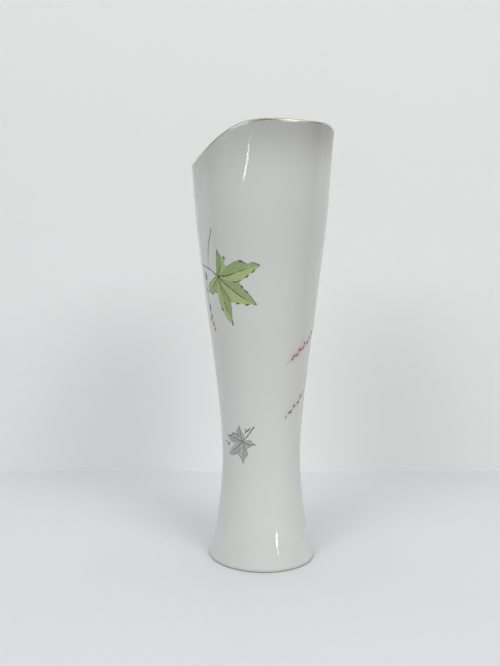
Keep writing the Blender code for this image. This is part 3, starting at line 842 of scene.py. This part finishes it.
def make_stage():
    """A pale table, and a pale backdrop that is solid from the front and open from behind."""
    towards, right = level(CAMERA_AZIMUTH)
    table = Shader("stage_table", TABLE_NEAR, 0.55)
    away = table.node("ShaderNodeVectorMath", [(0, table.where)], operation="LENGTH").outputs["Value"]
    table.wire(table.mix(table.ramp(away, *TABLE_FADES), TABLE_NEAR, TABLE_FAR), "Base Color")
    far = STAGE_REACH
    corners = [(-far, -far, 0.0), (far, -far, 0.0), (far, far, 0.0), (-far, far, 0.0)]
    stage_sheet("stage_table", corners, table.material)
    paper = Shader("stage_backdrop", (0.885, 0.895, 0.885), 0.8)
    nodes, links = paper.tree.nodes, paper.tree.links
    open_side = nodes.new("ShaderNodeBsdfTransparent")
    facing = nodes.new("ShaderNodeNewGeometry").outputs["Backfacing"]
    both = nodes.new("ShaderNodeMixShader")
    links.new(facing, both.inputs[0])
    links.new(paper.bsdf.outputs[0], both.inputs[1])
    links.new(open_side.outputs[0], both.inputs[2])
    links.new(both.outputs[0], nodes["Material Output"].inputs["Surface"])
    foot = -towards * WALL_BEHIND
    corners = [foot - right * far, foot + right * far, foot + right * far, foot - right * far]
    corners[2] = corners[2] + Vector((0, 0, far))
    corners[3] = corners[3] + Vector((0, 0, far))
    stage_sheet("stage_backdrop", corners, paper.material)


def beside_camera(aside, ahead, height):
    """A point this far to the camera's right of the vase's axis and this far towards the camera."""
    towards, right = level(CAMERA_AZIMUTH)
    return right * aside + towards * ahead + Vector((0, 0, height))


def shine(name, data, power, at, turn, colour=(1, 1, 1), only=None):
    """Adds a lamp that the camera doesn't see. only is the collection that it lights."""
    data.energy = power
    data.color = colour
    light = bpy.data.objects.new(name, data)
    light.location = at
    light.rotation_mode = "QUATERNION"
    light.rotation_quaternion = turn
    light.visible_camera = False
    light.light_linking.receiver_collection = only
    bpy.context.scene.collection.objects.link(light)


def softbox(name, azimuth, elevation, side, power, colour):
    """A square lamp at this azimuth from the camera's, facing the middle of the vase."""
    towards, _ = level(CAMERA_AZIMUTH + azimuth)
    e = radians(elevation)
    data = bpy.data.lights.new(name, "AREA")
    data.shape = "SQUARE"
    data.size = side
    offset = (towards * cos(e) + Vector((0, 0, sin(e)))) * SOFTBOX_DISTANCE
    middle = Vector((0, 0, (cad_low.z + cad_high.z) / 2))
    shine(name, data, power, middle + offset, (-offset).to_track_quat("-Z", "Y"), colour)


def strip(name, start, end, width, power, only):
    """A narrow lamp between two points beside the camera, facing the vase's axis."""
    first, last = beside_camera(*start), beside_camera(*end)
    middle, run = (first + last) / 2, (last - first).normalized()
    back = middle - Vector((0, 0, STRIP_AIM))
    back = (back - run * back.dot(run)).normalized()
    data = bpy.data.lights.new(name, "AREA")
    data.shape = "RECTANGLE"
    data.size, data.size_y = (last - first).length, width
    turn = Matrix((run, back.cross(run), back)).transposed().to_quaternion()
    shine(name, data, power, middle, turn, only=only)


def beam(name, at, radius, power, only):
    """A small round lamp whose narrow beam reaches the vase's foot only."""
    data = bpy.data.lights.new(name, "SPOT")
    data.shadow_soft_size = radius
    data.spot_size, data.spot_blend = radians(BEAM_SPREAD), BEAM_BLEND
    place_at = beside_camera(*at)
    shine(name, data, power, place_at, (-place_at).to_track_quat("-Z", "Y"), only=only)


def make_world():
    """A studio that is brighter overhead. What the camera sees of it is plain and pale."""
    world = bpy.data.worlds.new("studio")
    bpy.context.scene.world = world
    world.use_nodes = True
    nodes, links = world.node_tree.nodes, world.node_tree.links
    across = nodes.new("ShaderNodeSeparateXYZ")
    links.new(nodes.new("ShaderNodeTexCoord").outputs["Generated"], across.inputs[0])
    ceiling = nodes.new("ShaderNodeMapRange")
    links.new(across.outputs["Z"], ceiling.inputs["Value"])
    for name, value in zip(("From Min", "From Max", "To Min", "To Max"), CEILING_FROM + CEILING_TO):
        ceiling.inputs[name].default_value = value
    seen = nodes.new("ShaderNodeMix")
    seen.data_type = "RGBA"
    links.new(nodes.new("ShaderNodeLightPath").outputs["Is Camera Ray"], seen.inputs[0])
    links.new(ceiling.outputs["Result"], seen.inputs[6])
    seen.inputs[7].default_value = (*SURROUNDINGS, 1.0)
    links.new(seen.outputs[2], nodes["Background"].inputs["Color"])


def make_lights(body):
    glazed = bpy.data.collections.new("glazed")
    glazed.objects.link(body)
    for box in SOFTBOXES:
        softbox(*box)
    for each in STRIPS:
        strip(*each, glazed)
    for each in BEAMS:
        beam(*each, glazed)
    make_world()


def make_camera():
    towards, right = level(CAMERA_AZIMUTH)
    data = bpy.data.cameras.new("camera")
    data.lens = CAMERA_LENS
    data.clip_start, data.clip_end = 0.01, 20.0
    camera = bpy.data.objects.new("camera", data)
    camera.location = towards * CAMERA_DISTANCE + right * CAMERA_ASIDE + Vector((0, 0, CAMERA_HEIGHT))
    camera.rotation_euler = (pi / 2, 0.0, radians(CAMERA_AZIMUTH))
    bpy.context.scene.collection.objects.link(camera)
    bpy.context.scene.camera = camera


make_camera()
vase = make_body()
make_gilt()
make_green_leaf()
make_grey_leaf()
for stem in STEMS:
    make_stem(*stem)
make_sprig("left_sprig", "left_sprig_transfer", LEFT_STEM, LEFT_DABS)
make_sprig("upper_sprig", "upper_sprig_transfer", UPPER_STEM, UPPER_DABS)
make_sprig("lower_sprig", "lower_sprig_transfer", LOWER_STEM, LOWER_DABS)
make_stage()
make_lights(vase)
bpy.context.scene.view_settings.view_transform = "Standard"
